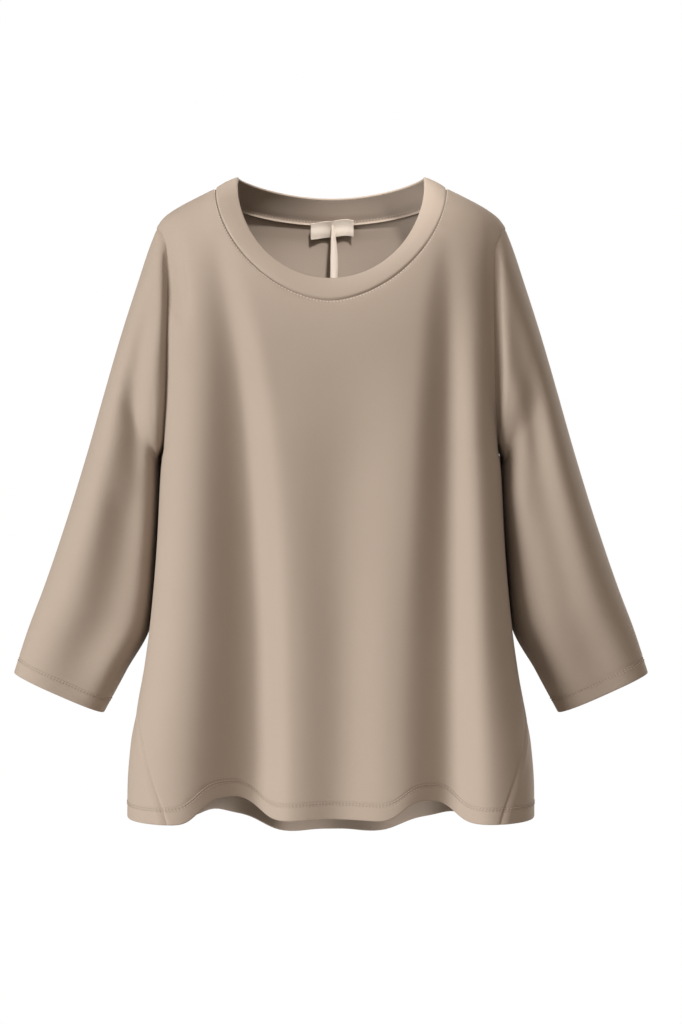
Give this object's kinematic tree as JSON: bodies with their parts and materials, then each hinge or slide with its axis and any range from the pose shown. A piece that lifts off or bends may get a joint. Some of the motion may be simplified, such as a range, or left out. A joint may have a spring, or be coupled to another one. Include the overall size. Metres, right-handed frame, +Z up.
{
  "type": "sweater",
  "caption": "Loose round-neck pullover in fine knit with long sleeves, filled out as worn, with soft vertical folds, plain turned hems and a narrow neckband.",
  "frame": {"origin": "middle of the neck, level with the neck ends of the two shoulder seams, where the garment hangs from a wearer's shoulders", "axes": "+Z up, the front of the garment faces -Y, +X is the wearer's left"},
  "size_m": [0.659, 0.2125, 0.6925],
  "materials": {
    "body_knit": "smooth matt double-face jersey, warm taupe",
    "sleeve_knit": "smooth matt double-face jersey, warm taupe",
    "neckband_knit": "same jersey, doubled, fold upwards",
    "label_weave": "bare woven tape, pale beige",
    "ribbon_satin": "narrow satin ribbon, pale beige"
  },
  "bodies": {
    "root": {"body_front": "body_knit", "body_back": "body_knit", "sleeve_left": "sleeve_knit", "sleeve_right": "sleeve_knit", "neckband": "neckband_knit", "neck_label": "label_weave", "label_ribbon": "ribbon_satin"}
  },
  "joints": []
}
